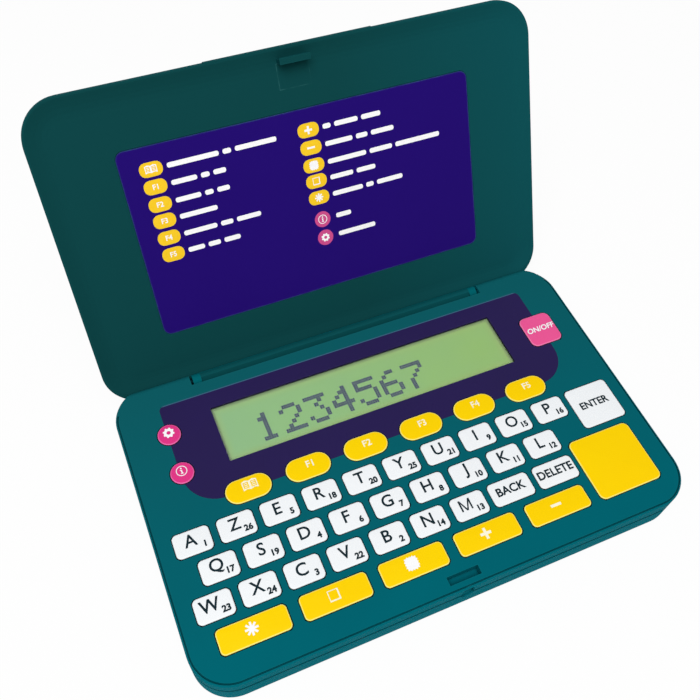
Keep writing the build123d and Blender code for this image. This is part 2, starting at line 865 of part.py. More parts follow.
os.makedirs("parts", exist_ok=True)
all_keys = list_keys()
all_screws = screw_places(False) + screw_places(True)
save(make_bottom_case(), "bottom_case")
save(make_coin_cells(), "coin_cells")
save(make_battery_contacts(), "battery_contacts")
save(make_battery_door(), "battery_door")
save(
    make_screws([(door_screw_x, bay_y)], door_screw_head_height, door_screw_tip_height),
    "battery_door_screw",
)
save(make_main_board(), "main_board")
save(make_key_mat(all_keys), "key_mat")
save(make_lcd_connector(), "lcd_connector")
save(make_lcd_panel(), "lcd_panel")
save(make_top_case(all_keys), "top_case")
save(make_display_window(), "display_window")
save(make_display_bezel(all_keys), "display_bezel")
save(make_screws(all_screws, screw_head_height + screw_play, screw_tip_height), "case_screws")
save(make_hinge_pins(), "hinge_pins")
save(make_lid_shell(), "lid_shell")
save(make_lid_label(), "lid_label")
for one_key in all_keys:
    save(make_key(one_key), one_key.name)
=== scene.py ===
import json
import math

import bmesh
import bpy
from mathutils import Matrix, Vector


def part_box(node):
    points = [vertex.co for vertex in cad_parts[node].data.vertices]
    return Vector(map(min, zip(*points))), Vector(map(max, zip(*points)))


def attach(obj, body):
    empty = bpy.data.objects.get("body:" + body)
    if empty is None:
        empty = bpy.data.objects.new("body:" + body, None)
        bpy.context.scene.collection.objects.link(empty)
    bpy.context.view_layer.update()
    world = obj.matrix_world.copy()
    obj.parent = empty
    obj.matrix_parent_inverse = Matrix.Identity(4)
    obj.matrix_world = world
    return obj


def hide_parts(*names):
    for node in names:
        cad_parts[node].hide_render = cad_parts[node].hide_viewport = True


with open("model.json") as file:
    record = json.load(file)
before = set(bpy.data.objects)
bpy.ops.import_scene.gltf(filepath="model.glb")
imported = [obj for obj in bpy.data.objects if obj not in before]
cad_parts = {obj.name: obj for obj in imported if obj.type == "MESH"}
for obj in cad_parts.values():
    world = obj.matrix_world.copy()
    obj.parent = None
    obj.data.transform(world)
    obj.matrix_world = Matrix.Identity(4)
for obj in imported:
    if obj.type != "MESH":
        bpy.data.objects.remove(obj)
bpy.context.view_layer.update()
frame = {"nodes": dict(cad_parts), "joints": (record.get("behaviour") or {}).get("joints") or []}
nodes = frame["nodes"]


# Case shells, battery door and lid: moulded in one satin teal plastic, with a fine
# spark-eroded grain. Two half shells are screwed together from below; the lid is a third
# moulding. Their edges have gone a little paler and shinier with handling.
def shade(red, green, blue):
    """A colour given as it looks on screen, 0 to 255, in the form the shaders take."""
    levels = [channel / 255 for channel in (red, green, blue)]
    return [v / 12.92 if v < 0.04045 else ((v + 0.055) / 1.055) ** 2.4 for v in levels] + [1.0]


def effect(name, inputs, outputs):
    """Starts a shader node group with number inputs and number outputs."""
    group = bpy.data.node_groups.new(name, "ShaderNodeTree")
    for label, value in inputs.items():
        socket = group.interface.new_socket(label, in_out="INPUT", socket_type="NodeSocketFloat")
        socket.default_value = value
    for label in outputs:
        group.interface.new_socket(label, in_out="OUTPUT", socket_type="NodeSocketFloat")
    return group, group.nodes.new("NodeGroupInput"), group.nodes.new("NodeGroupOutput")


def feed(tree, node, **sources):
    """Links sockets, or sets numbers, on a node's inputs, named with underscores for spaces."""
    for label, source in sources.items():
        socket = node.inputs[int(label[1:]) if label[1:].isdigit() else label.replace("_", " ")]
        if isinstance(source, bpy.types.NodeSocket):
            tree.links.new(source, socket)
        else:
            socket.default_value = source
    return node


def math_node(tree, operation, first, second=0.0):
    """One arithmetic node in a shader or geometry tree; its result socket."""
    node = tree.nodes.new("ShaderNodeMath")
    node.operation = operation
    return feed(tree, node, _0=first, _1=second).outputs[0]


def product(tree, first, second):
    """One number times another."""
    return math_node(tree, "MULTIPLY", first, second)


def total(tree, first, second):
    """Two numbers added."""
    return math_node(tree, "ADD", first, second)


def difference(tree, first, second):
    """One number less another."""
    return math_node(tree, "SUBTRACT", first, second)


def own_place(tree):
    """Where a spot lies in the piece's own coordinates, which are the object's metres."""
    return tree.nodes.new("ShaderNodeTexCoord").outputs["Object"]


def axes(tree, direction):
    """The three numbers of a place or direction."""
    return feed(tree, tree.nodes.new("ShaderNodeSeparateXYZ"), Vector=direction).outputs


def noise(tree, size, detail, coordinates):
    """Noise whose features are about so many metres across."""
    if isinstance(size, bpy.types.NodeSocket):
        scale = math_node(tree, "DIVIDE", 1.0, size)
    else:
        scale = 1 / size
    texture = tree.nodes.new("ShaderNodeTexNoise")
    return feed(tree, texture, Vector=coordinates, Scale=scale, Detail=detail).outputs["Fac"]


def spread_out(tree, value, low, high, new_low=0.0, new_high=1.0):
    """Stretches the range low to high onto another, and clamps it."""
    node = tree.nodes.new("ShaderNodeMapRange")
    return feed(tree, node, Value=value, _1=low, _2=high, _3=new_low, _4=new_high).outputs[0]


def dot_product(tree, first, second):
    """How far one vector reaches along another."""
    node = tree.nodes.new("ShaderNodeVectorMath")
    node.operation = "DOT_PRODUCT"
    return feed(tree, node, _0=first, _1=second).outputs["Value"]


mould_grain, grain_in, grain_out = effect(
    "mould grain", {"Grain Size": 0.0002, "Cloud Size": 0.02}, ["Height", "Cloud", "Smudge"]
)
where = own_place(mould_grain)
fine = noise(mould_grain, grain_in.outputs["Grain Size"], 2.0, where)
cloud = noise(mould_grain, grain_in.outputs["Cloud Size"], 3.0, where)
smudge_size = product(mould_grain, grain_in.outputs["Cloud Size"], 0.3)
smudge = noise(mould_grain, smudge_size, 4.0, where)
feed(
    mould_grain,
    grain_out,
    Height=fine,
    Cloud=spread_out(mould_grain, cloud, 0.3, 0.7),
    Smudge=spread_out(mould_grain, smudge, 0.35, 0.7),
)

edge_wear, wear_in, wear_out = effect("edge wear", {"Reach": 0.0004, "Patch Size": 0.004}, ["Mask"])
rounded = edge_wear.nodes.new("ShaderNodeBevel")
rounded.samples = 4
feed(edge_wear, rounded, Radius=wear_in.outputs["Reach"])
flat_normal = edge_wear.nodes.new("ShaderNodeNewGeometry").outputs["Normal"]
flatness = dot_product(edge_wear, rounded.outputs[0], flat_normal)
edge = spread_out(edge_wear, flatness, 0.99, 0.72)
patch = noise(edge_wear, wear_in.outputs["Patch Size"], 3.0, own_place(edge_wear))
patch = spread_out(edge_wear, patch, 0.3, 0.65, 0.25)
feed(edge_wear, wear_out, Mask=product(edge_wear, edge, patch))

# Painted shade: ambient occlusion darkens the colour in crevices, where surfaces close in.
crevice_shade, crevice_shade_in, crevice_shade_out = effect(
    "painted crevice shade", {"Reach": 0.0006, "Strength": 0.5}, ["Mask"]
)
crevice = crevice_shade.nodes.new("ShaderNodeAmbientOcclusion")
crevice.samples = 6
feed(crevice_shade, crevice, Distance=crevice_shade_in.outputs["Reach"])
closed_in = spread_out(crevice_shade, crevice.outputs["AO"], 0.9, 0.35)
feed(crevice_shade, crevice_shade_out, Mask=product(crevice_shade, closed_in, crevice_shade_in.outputs["Strength"]))


def start_material(name):
    """A material with its node tree and its Principled shader."""
    material = bpy.data.materials.new(name)
    material.use_nodes = True
    return material, material.node_tree, material.node_tree.nodes["Principled BSDF"]


def place_group(tree, group, values):
    """Puts a node group in a material, with the material's own numbers."""
    node = tree.nodes.new("ShaderNodeGroup")
    node.node_tree = group
    for label, value in values.items():
        node.inputs[label].default_value = value
    return node.outputs


def blend_colour(tree, amount, first, second):
    """A colour between two others."""
    node = tree.nodes.new("ShaderNodeMix")
    node.data_type = "RGBA"
    return feed(tree, node, _0=amount, _6=first, _7=second).outputs[2]


def bumps(tree, strength, depth, height):
    """Fine relief, as a normal."""
    node = tree.nodes.new("ShaderNodeBump")
    return feed(tree, node, Strength=strength, Distance=depth, Height=height).outputs[0]


lid_joint = next(joint for joint in frame["joints"] if joint["name"] == "lid_hinge")
hinge = Vector(lid_joint["pos_m"])
lid_angle = math.radians(lid_joint["range_deg"][1])
up = Vector((0.0, -math.cos(lid_angle), math.sin(lid_angle)))
facing = Vector((0.0, -math.sin(lid_angle), -math.cos(lid_angle)))


def lid_painted_shade(tree):
    """Mask of painted shade on the lid's inner side, hook and barrel, but not on the barrel's end
    knuckles.

    On the lid's outer walls the painted shade fades out above the rim. The second mask is the
    faint outline that the mould's insert left behind the hook.
    """
    coordinates = tree.nodes.new("ShaderNodeTexCoord").outputs
    where = coordinates["Object"]
    spot = axes(tree, where)
    off_middle = math_node(tree, "ABSOLUTE", spot[0])
    inner_faces = spread_out(tree, dot_product(tree, coordinates["Normal"], facing), 0.2, 0.4)
    depth = total(tree, dot_product(tree, where, -facing), facing.dot(hinge))
    height = difference(tree, dot_product(tree, where, up), up.dot(hinge))

    barrel_skin, barrel_neck, knuckle_inner_end = 0.00176, 0.004, 0.04094
    above_barrel = spread_out(tree, depth, barrel_skin, barrel_skin + 0.0001)
    past_hinge = spread_out(tree, height, barrel_neck, barrel_neck + 0.0005)
    beyond_barrel = math_node(tree, "MAXIMUM", above_barrel, past_hinge)
    # Painted shade on the barrel between its end knuckles, at three quarters strength.
    between = spread_out(tree, off_middle, knuckle_inner_end, knuckle_inner_end + 0.0001, 0.75, 0.0)
    front = spread_out(tree, spot[1], hinge.y + 0.0008, hinge.y + 0.001, 1.0, 0.0)
    on_barrel = product(tree, between, front)

    # Painted shade on the outer walls, strongest at the rim and fading above it.
    rim_foot, rim_top = 0.002, 0.0048
    near_rim = spread_out(tree, depth, rim_foot, rim_top, 0.9, 0.1)
    shaded_lid_side = product(tree, beyond_barrel, math_node(tree, "MAXIMUM", inner_faces, near_rim))

    insert_half_x, insert_half_y, insert_middle = 0.0041, 0.0031, 0.0721
    line_half, line_fade = 0.00004, 0.00012
    from_sides = difference(tree, off_middle, insert_half_x)
    from_middle = math_node(tree, "ABSOLUTE", difference(tree, height, insert_middle))
    from_ends = difference(tree, from_middle, insert_half_y)
    off_line = math_node(tree, "ABSOLUTE", math_node(tree, "MAXIMUM", from_sides, from_ends))
    faint = spread_out(tree, noise(tree, 0.003, 1.0, where), 0.4, 0.6, 0.1)
    outline = product(tree, spread_out(tree, off_line, line_half, line_fade, 0.5, 0.0), inner_faces)
    outline = product(tree, outline, faint)
    return math_node(tree, "MAXIMUM", shaded_lid_side, on_barrel), outline


# Colour of painted shade in crevices and in the seam groove.
crevice_shade_colour = shade(2, 30, 34)


def moulded_plastic(
    name,
    main,
    cloudy,
    worn,
    gloss,
    relief=0.00001,
    wear=0.5,
    shine=0.3,
    crevice_shade_strength=0.0,
    wall_light=None,
    rim=None,
    inside=None,
    rear=None,
    seam=None,
):
    """Moulded plastic: faint clouds in its colour, smudged gloss, fine grain and worn edges.

    Painted shade darkens its crevices, upright walls take the wall light colour as painted light,
    and rounded edges the rim colour as a painted highlight. Inside holds the two colours of painted
    shade on the lid's inner side, from its middle to its right end. Rear is a colour that takes over
    between two places from front to back, and seam is the level of a groove painted darker as shade.
    """
    material, tree, shader = start_material(name)
    grains = place_group(tree, mould_grain, {"Grain Size": 0.0002, "Cloud Size": 0.02})
    rubbed = place_group(tree, edge_wear, {"Reach": 0.00035, "Patch Size": 0.005})["Mask"]
    rubbed = product(tree, rubbed, wear)
    colour = blend_colour(tree, grains["Cloud"], main, cloudy)
    if rear or inside or seam:
        spot = axes(tree, own_place(tree))
    if rear:
        start, end, rear_colour = rear
        colour = blend_colour(tree, spread_out(tree, spot["Y"], start, end), colour, rear_colour)
    # Painted shade on the lid's inner side, painted lighter towards its right end.
    if inside:
        lid_shade_tone = blend_colour(tree, spread_out(tree, spot["X"], 0.01, 0.06), *inside)
        shaded_lid_side, insert_line = lid_painted_shade(tree)
        colour = blend_colour(tree, shaded_lid_side, colour, lid_shade_tone)
        colour = blend_colour(tree, insert_line, colour, shade(62, 122, 122))
    if wall_light or rim:
        slope = axes(tree, tree.nodes.new("ShaderNodeNewGeometry").outputs["Normal"])["Z"]
    # Painted light: upright walls are made lighter.
    if wall_light:
        colour = blend_colour(tree, spread_out(tree, slope, 0.7, 0.3), colour, wall_light)
    # Painted highlight on rounded edges.
    if rim:
        over = product(
            tree, spread_out(tree, slope, 0.996, 0.95), spread_out(tree, slope, 0.2, 0.4)
        )
        colour = blend_colour(tree, over, colour, rim)
    colour = blend_colour(tree, rubbed, colour, worn)
    # Painted shade along the seam groove.
    if seam:
        off_seam = math_node(tree, "ABSOLUTE", difference(tree, spot["Z"], seam))
        in_seam = spread_out(tree, off_seam, 0.0005, 0.0008, 0.42, 0.0)
        colour = blend_colour(tree, in_seam, colour, crevice_shade_colour)
    # Painted shade in crevices, from ambient occlusion.
    if crevice_shade_strength:
        in_crevice_shade = place_group(tree, crevice_shade, {"Reach": 0.0006, "Strength": crevice_shade_strength})["Mask"]
        colour = blend_colour(tree, in_crevice_shade, colour, crevice_shade_colour)
    roughness = spread_out(tree, grains["Smudge"], 0.0, 1.0, gloss - 0.05, gloss + 0.07)
    roughness = difference(tree, roughness, product(tree, rubbed, 0.12))
    normal = bumps(tree, 0.5, relief, grains["Height"])
    feed(tree, shader, Base_Color=colour, Roughness=roughness, Normal=normal)
    feed(tree, shader, Specular_IOR_Level=shine)
    return material


def coat(node, material):
    """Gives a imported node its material."""
    nodes[node].data.materials.clear()
    nodes[node].data.materials.append(material)


case_front, case_rear, seam_level = -0.036, 0.034, 0.0074
# Painted light and shade: upright walls painted lighter, crevices and the seam groove painted darker.
teal_plastic = moulded_plastic(
    "teal_case_plastic",
    shade(2, 100, 112),
    shade(3, 97, 109),
    shade(34, 122, 129),
    gloss=0.6,
    shine=0.004,
    crevice_shade_strength=0.5,
    wall_light=shade(5, 108, 120),
    rear=(case_front, case_rear, shade(14, 91, 98)),
    seam=seam_level,
)
for node in ("bottom_case", "top_case", "battery_door"):
    coat(node, teal_plastic)
# Painted shade: the lid's inner side, hook and barrel take a darker teal, lighter towards the right
# end.
lid_plastic = moulded_plastic(
    "teal_lid_plastic",
    shade(2, 97, 105),
    shade(3, 94, 102),
    shade(26, 104, 110),
    gloss=0.6,
    wear=0.3,
    shine=0.004,
    inside=(shade(15, 68, 70), shade(15, 78, 83)),
)
coat("lid_shell", lid_plastic)


# Coin cells, their sprung contacts and the hinge pins: plated steel, the cells with a faint
# turned grain on their cans. The cells lie in the bay under the board, behind the battery
# door; the pins carry the lid's barrel and are coloured a dark teal, painted shade of the hinge gap.
def plated_steel(name, bright, dull, roughness):
    """Plated or turned steel with fine scratches and dull patches."""
    material, tree, shader = start_material(name)
    where = own_place(tree)
    stretch = tree.nodes.new("ShaderNodeMapping")
    feed(tree, stretch, Vector=where, Scale=(1.0, 14.0, 1.0))
    scratches = noise(tree, 0.0012, 5.0, stretch.outputs[0])
    patches = spread_out(tree, noise(tree, 0.006, 3.0, where), 0.35, 0.65)
    colour = blend_colour(tree, patches, bright, dull)
    uneven = spread_out(tree, scratches, 0.3, 0.7, roughness - 0.08, roughness + 0.1)
    normal = bumps(tree, 0.3, 0.00001, scratches)
    feed(tree, shader, Base_Color=colour, Metallic=1.0, Roughness=uneven, Normal=normal)
    return material


coat("coin_cells", plated_steel("nickel_cell_can", shade(206, 207, 209), shade(186, 188, 190), 0.26))
coat("battery_contacts", plated_steel("spring_steel", shade(196, 190, 178), shade(172, 165, 152), 0.3))
coat("hinge_pins", plated_steel("shade_dark_pin_steel", shade(10, 44, 50), shade(8, 36, 42), 0.6))


# Screws: small steel self-tappers with a domed head, a cross recess and a coarse thread.
# Six hold the shells together from below and one holds the battery door.
def geometry_tree(name, inputs):
    """Starts a geometry tree with named inputs and a Geometry output; values are defaults."""
    tree = bpy.data.node_groups.new(name, "GeometryNodeTree")
    tree.interface.new_socket("Geometry", in_out="INPUT", socket_type="NodeSocketGeometry")
    for label, value in inputs.items():
        kind = "NodeSocketMaterial" if value is None else "NodeSocketFloat"
        socket = tree.interface.new_socket(label, in_out="INPUT", socket_type=kind)
        if value is not None:
            socket.default_value = value
    tree.interface.new_socket("Geometry", in_out="OUTPUT", socket_type="NodeSocketGeometry")
    return tree, tree.nodes.new("NodeGroupInput").outputs


def end_tree(tree, geometry, material):
    """Closes a geometry tree: instances made real, then the material."""
    real = feed(tree, tree.nodes.new("GeometryNodeRealizeInstances"), Geometry=geometry)
    painted = tree.nodes.new("GeometryNodeSetMaterial")
    feed(tree, painted, Geometry=real.outputs[0], Material=material)
    feed(tree, tree.nodes.new("NodeGroupOutput"), Geometry=painted.outputs[0])


def vector(tree, x=0.0, y=0.0, z=0.0):
    """Three numbers as one vector socket."""
    return feed(tree, tree.nodes.new("ShaderNodeCombineXYZ"), X=x, Y=y, Z=z).outputs[0]


def shift(tree, geometry, x=0.0, y=0.0, z=0.0):
    """Moves a shape."""
    node = tree.nodes.new("GeometryNodeTransform")
    return feed(tree, node, Geometry=geometry, Translation=vector(tree, x, y, z)).outputs[0]


def on_each_point(tree, points, shape):
    """A copy of a shape at each point that the tree is given."""
    node = tree.nodes.new("GeometryNodeInstanceOnPoints")
    spots = feed(tree, tree.nodes.new("GeometryNodeMeshToPoints"), Mesh=points)
    return feed(tree, node, Points=spots.outputs[0], Instance=shape).outputs[0]


def new_object(name, data):
    """A new object in the scene."""
    piece = bpy.data.objects.new(name, data)
    bpy.context.scene.collection.objects.link(piece)
    return piece


def plain_mesh(piece):
    """What a piece's modifiers or curve come to, as a plain mesh."""
    bpy.context.view_layer.update()
    graph = bpy.context.evaluated_depsgraph_get()
    return bpy.data.meshes.new_from_object(piece.evaluated_get(graph), depsgraph=graph)


def grow(name, tree, values, places=None, crease=40):
    """Runs a geometry tree on some points and keeps the result as a plain mesh object."""
    seed_mesh = bpy.data.meshes.new(name + "_places")
    seed_mesh.from_pydata(places or [], [], [])
    piece = new_object(name, seed_mesh)
    maker = piece.modifiers.new("maker", "NODES")
    maker.node_group = tree
    inputs = {s.name: s.identifier for s in tree.interface.items_tree if s.in_out == "INPUT"}
    for label, value in values.items():
        maker[inputs[label]] = value
    made = plain_mesh(piece)
    piece.modifiers.remove(maker)
    piece.data = made
    made.name = name
    made.shade_smooth()
    made.set_sharp_from_angle(angle=math.radians(crease))
    bpy.data.meshes.remove(seed_mesh)
    return piece


screw_tree, size = geometry_tree(
    "self-tapping screw",
    {
        "Head Radius": 0.0019,
        "Head Base": 0.0001,
        "Head Height": 0.001,
        "Shank Radius": 0.00098,
        "Length": 0.0085,
        "Pitch": 0.0007,
        "Recess Width": 0.00042,
        "Material": None,
    },
)
head = screw_tree.nodes.new("GeometryNodeMeshUVSphere")
feed(screw_tree, head, Segments=40, Rings=20, Radius=1.0)
flattening = 2.2
half_head = product(screw_tree, size["Head Height"], 0.5)
spot = axes(screw_tree, screw_tree.nodes.new("GeometryNodeInputPosition").outputs[0])
level = math_node(screw_tree, "MINIMUM", product(screw_tree, spot[2], flattening), 1.0)
level = math_node(screw_tree, "MAXIMUM", level, -1.0)
head_middle = total(screw_tree, size["Head Base"], half_head)
domed = vector(
    screw_tree,
    product(screw_tree, spot[0], size["Head Radius"]),
    product(screw_tree, spot[1], size["Head Radius"]),
    total(screw_tree, product(screw_tree, level, half_head), head_middle),
)
shaped = screw_tree.nodes.new("GeometryNodeSetPosition")
feed(screw_tree, shaped, Geometry=head.outputs["Mesh"], Position=domed)

recess = screw_tree.nodes.new("GeometryNodeMeshBoolean")
recess.operation = "DIFFERENCE"
screw_tree.links.new(shaped.outputs[0], recess.inputs["Mesh 1"])
length_share, depth_share = 1.15, 1.1
recess_width = size["Recess Width"]
recess_length = product(screw_tree, size["Head Radius"], length_share)
recess_depth = product(screw_tree, size["Head Height"], depth_share)
for sides in ((recess_length, recess_width), (recess_width, recess_length)):
    slot_bar = screw_tree.nodes.new("GeometryNodeMeshCube")
    feed(screw_tree, slot_bar, Size=vector(screw_tree, *sides, recess_depth))
    raised = shift(screw_tree, slot_bar.outputs["Mesh"], z=size["Head Base"])
    screw_tree.links.new(raised, recess.inputs["Mesh 2"])

core_share, thread_share, ridge_share, threaded_share, sunk = 0.8, 0.86, 0.14, 0.86, 0.0001
core = screw_tree.nodes.new("GeometryNodeMeshCylinder")
core_radius = product(screw_tree, size["Shank Radius"], core_share)
feed(screw_tree, core, Vertices=24, Radius=core_radius, Depth=size["Length"])
shank_start = total(screw_tree, size["Head Base"], size["Head Height"])
half_length = product(screw_tree, size["Length"], 0.5)
core_middle = total(screw_tree, shank_start, difference(screw_tree, half_length, sunk))
thread_run = product(screw_tree, size["Length"], threaded_share)
thread_line = product(screw_tree, size["Shank Radius"], thread_share)
helix = screw_tree.nodes.new("GeometryNodeCurveSpiral")
feed(
    screw_tree,
    helix,
    Resolution=20,
    Rotations=math_node(screw_tree, "DIVIDE", thread_run, size["Pitch"]),
    Start_Radius=thread_line,
    End_Radius=thread_line,
    Height=thread_run,
)
ridge = screw_tree.nodes.new("GeometryNodeCurvePrimitiveCircle")
ridge_radius = product(screw_tree, size["Shank Radius"], ridge_share)
feed(screw_tree, ridge, Resolution=4, Radius=ridge_radius)
thread = screw_tree.nodes.new("GeometryNodeCurveToMesh")
feed(screw_tree, thread, Curve=helix.outputs[0], Profile_Curve=ridge.outputs[0], Fill_Caps=True)

whole = screw_tree.nodes.new("GeometryNodeJoinGeometry")
for part in (
    recess.outputs["Mesh"],
    shift(screw_tree, core.outputs["Mesh"], z=core_middle),
    shift(screw_tree, thread.outputs[0], z=shank_start),
):
    screw_tree.links.new(part, whole.inputs[0])
screws = on_each_point(screw_tree, size["Geometry"], whole.outputs[0])
end_tree(screw_tree, screws, size["Material"])

screw_steel = plated_steel("screw_steel", shade(170, 172, 176), shade(140, 142, 147), 0.34)
corner_x, middle_x, screw_y, crease = 0.0575, 0.026, 0.0365, 35
case_places = [(x, -screw_y, 0.0) for x in (-corner_x, -middle_x, middle_x, corner_x)]
case_places += [(x, screw_y, 0.0) for x in (-corner_x, corner_x)]
case_screws = grow("case_screw_set", screw_tree, {"Material": screw_steel}, case_places, crease)
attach(case_screws, "base")
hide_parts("case_screws")
door_place = (0.026, 0.008, 0.0)
door_sizes = {"Head Height": 0.0006, "Length": 0.0041, "Material": screw_steel}
door_screw = grow("door_screw", screw_tree, door_sizes, [door_place], crease)
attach(door_screw, "base")
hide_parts("battery_door_screw")


# Circuit board: green-lacquered glass laminate with copper tracks showing through, over
# the battery bay. It stands on posts and carries the key mat.
laminate, tree, shader = start_material("green_laminate")
where = own_place(tree)
tracks = tree.nodes.new("ShaderNodeTexVoronoi")
tracks.feature = "DISTANCE_TO_EDGE"
feed(tree, tracks, Vector=where, Scale=420.0)
copper = spread_out(tree, tracks.outputs["Distance"], 0.04, 0.09, 1.0, 0.0)
weave = noise(tree, 0.0006, 2.0, where)
lacquer = blend_colour(tree, weave, shade(18, 92, 52), shade(26, 108, 62))
feed(tree, shader, Base_Color=blend_colour(tree, copper, lacquer, shade(70, 138, 72)))
feed(tree, shader, Roughness=spread_out(tree, weave, 0.3, 0.7, 0.28, 0.42))
feed(tree, shader, Normal=bumps(tree, 0.6, 0.00003, copper))
coat("main_board", laminate)


# Key mat and display connector: soft rubber on the board, one bump under each key, and
# two strips of striped elastomer that carry the display's lines.
def soft_rubber(name, main, other, size_of_grain):
    """Matt rubber with a dusty, uneven surface."""
    material, tree, shader = start_material(name)
    grains = place_group(tree, mould_grain, {"Grain Size": size_of_grain, "Cloud Size": 0.006})
    colour = blend_colour(tree, grains["Cloud"], main, other)
    rough = spread_out(tree, grains["Smudge"], 0.0, 1.0, 0.62, 0.8)
    normal = bumps(tree, 0.6, 0.00003, grains["Height"])
    feed(tree, shader, Base_Color=colour, Roughness=rough, Normal=normal)
    return material


coat("key_mat", soft_rubber("grey_mat_rubber", shade(120, 124, 128), shade(108, 112, 117), 0.0004))
coat("lcd_connector", soft_rubber("striped_elastomer", shade(190, 120, 130), shade(60, 58, 62), 0.0002))


# Display glass: a reflective panel, green-grey, with the unlit dots just visible in it, and a
# painted paler glow of light towards its edges. Painted shade falls along its rear and sides, and
# a dark painted band of shade lies just past the viewing area, where the surround's wall shades it.
view_half_x, view_half_y, view_y, dot_pitch = 0.0416, 0.008225, 0.019575, 0.0006
panel, tree, shader = start_material("green_display_glass")
spot = axes(tree, own_place(tree))
rulings = []
for axis in (0, 1):
    along = math_node(tree, "DIVIDE", spot[axis], dot_pitch)
    rulings.append(spread_out(tree, math_node(tree, "FRACT", along), 0.1, 0.16))
unlit = product(tree, rulings[0], rulings[1])
off_side = difference(tree, math_node(tree, "ABSOLUTE", spot[0]), view_half_x)
off_middle = math_node(tree, "ABSOLUTE", difference(tree, spot[1], view_y))
beyond = math_node(tree, "MAXIMUM", off_side, difference(tree, off_middle, view_half_y))
off_rear = difference(tree, spot[1], view_y + view_half_y)
shaded = math_node(tree, "MAXIMUM", off_side, off_rear)
across = spread_out(tree, spot[0], -view_half_x, view_half_x)
grains = place_group(tree, mould_grain, {"Grain Size": 0.0001, "Cloud Size": 0.012})
glass = blend_colour(tree, across, shade(134, 187, 120), shade(139, 187, 86))
for amount, tint in (
    (product(tree, grains["Cloud"], 0.15), shade(120, 170, 130)),
    # painted glow of light towards the edges
    (spread_out(tree, beyond, -0.0025, -0.0006, 0.0, 0.4), shade(160, 186, 96)),
    (product(tree, unlit, 0.05), shade(80, 112, 80)),
    # painted shade along the rear and side edges
    (spread_out(tree, shaded, -0.001, 0.0, 0.0, 0.62), shade(54, 58, 60)),
    # dark band past the viewing area, painted shade of the opening's wall
    (spread_out(tree, beyond, 0.00005, 0.00015), shade(30, 26, 42)),
):
    glass = blend_colour(tree, amount, glass, tint)
feed(tree, shader, Base_Color=glass, Specular_IOR_Level=0.25)
feed(tree, shader, Roughness=spread_out(tree, grains["Smudge"], 0.0, 1.0, 0.3, 0.4))
coat("lcd_panel", panel)


# Lit dots: the numbers 1 to 7 in plain dot type, four dots of the panel to each dot of the
# type. Each is a thin dark square on the glass.
digit_rows = {
    "1": (4, 12, 4, 4, 4, 4, 14),
    "2": (14, 17, 1, 2, 4, 8, 31),
    "3": (31, 2, 4, 2, 1, 17, 14),
    "4": (2, 6, 10, 18, 31, 2, 2),
    "5": (31, 16, 30, 1, 1, 17, 14),
    "6": (6, 8, 16, 30, 17, 17, 14),
    "7": (31, 1, 2, 4, 8, 8, 8),
}
dot_sizes = {"Dot": 0.00056, "Thickness": 0.00002, "Material": None}
dot_tree, size = geometry_tree("display dots", dot_sizes)
dot = dot_tree.nodes.new("GeometryNodeMeshCube")
feed(dot_tree, dot, Size=vector(dot_tree, size["Dot"], size["Dot"], size["Thickness"]))
dots = on_each_point(dot_tree, size["Geometry"], dot.outputs["Mesh"])
end_tree(dot_tree, dots, size["Material"])

lit_dots = []
first_column, first_row, digit_step, dot_middle = -54, 23, 12, 0.55
glass_top, dot_lift = 0.0103, 0.000008
for place, pattern in enumerate(digit_rows.values()):
    for row, bits in enumerate(pattern):
        for column in range(5):
            if bits >> (4 - column) & 1:
                for sub in range(4):
                    x = first_column + place * digit_step + column * 2 + sub % 2 + dot_middle
                    y = first_row + (6 - row) * 2 + sub // 2 + dot_middle
                    lit_dots.append((x * dot_pitch, y * dot_pitch, glass_top + dot_lift))
dark_dots, tree, shader = start_material("dark_display_dots")
uneven = noise(tree, 0.0025, 2.0, own_place(tree))
feed(tree, shader, Base_Color=blend_colour(tree, uneven, shade(14, 34, 74), shade(24, 46, 88)))
feed(tree, shader, Roughness=spread_out(tree, uneven, 0.3, 0.7, 0.3, 0.42))
feed(tree, shader, Specular_IOR_Level=0.1)
display_dots = grow("display_dots", dot_tree, {"Material": dark_dots}, lit_dots)
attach(display_dots, "base")


# Window: a sheet of clear acrylic, set under the surround and over the display glass. Wiping
# has left faint hairline scratches on it.
clear, tree, shader = start_material("clear_window_sheet")
hairlines = tree.nodes.new("ShaderNodeMapping")
feed(tree, hairlines, Vector=own_place(tree), Rotation=(0.0, 0.0, 0.5), Scale=(1.0, 22.0, 1.0))
scratch = noise(tree, 0.002, 3.0, hairlines.outputs[0])
feed(tree, shader, Base_Color=(0.97, 0.985, 0.97, 1.0), IOR=1.49, Transmission_Weight=1.0)
feed(tree, shader, Roughness=spread_out(tree, scratch, 0.55, 0.8, 0.02, 0.08))
feed(tree, shader, Normal=bumps(tree, 0.1, 0.000004, scratch))
path = tree.nodes.new("ShaderNodeLightPath").outputs
let_through = tree.nodes.new("ShaderNodeMixShader")
feed(
    tree,
    let_through,
    _0=math_node(tree, "MAXIMUM", path["Is Shadow Ray"], path["Is Diffuse Ray"]),
    _1=shader.outputs[0],
    _2=tree.nodes.new("ShaderNodeBsdfTransparent").outputs[0],
)
tree.links.new(let_through.outputs[0], tree.nodes["Material Output"].inputs["Surface"])
coat("display_window", clear)


# Display surround: a thin frame moulded in glossy dark indigo plastic. It is laid flush in a
# seat in the face and holds the window down; a painted highlight runs along its rear edge.
_, bezel_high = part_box("display_bezel")
rear_edge = bezel_high[1] - 0.0003
bezel_plastic = moulded_plastic(
    "indigo_bezel_plastic",
    shade(40, 30, 80),
    shade(39, 30, 77),
    shade(58, 56, 104),
    gloss=0.32,
    relief=0.000003,
    wear=0.35,
    shine=0.05,
    # painted highlight: a paler line along the rear edge
    rear=(rear_edge, rear_edge + 0.00005, shade(60, 104, 130)),
)
coat("display_bezel", bezel_plastic)


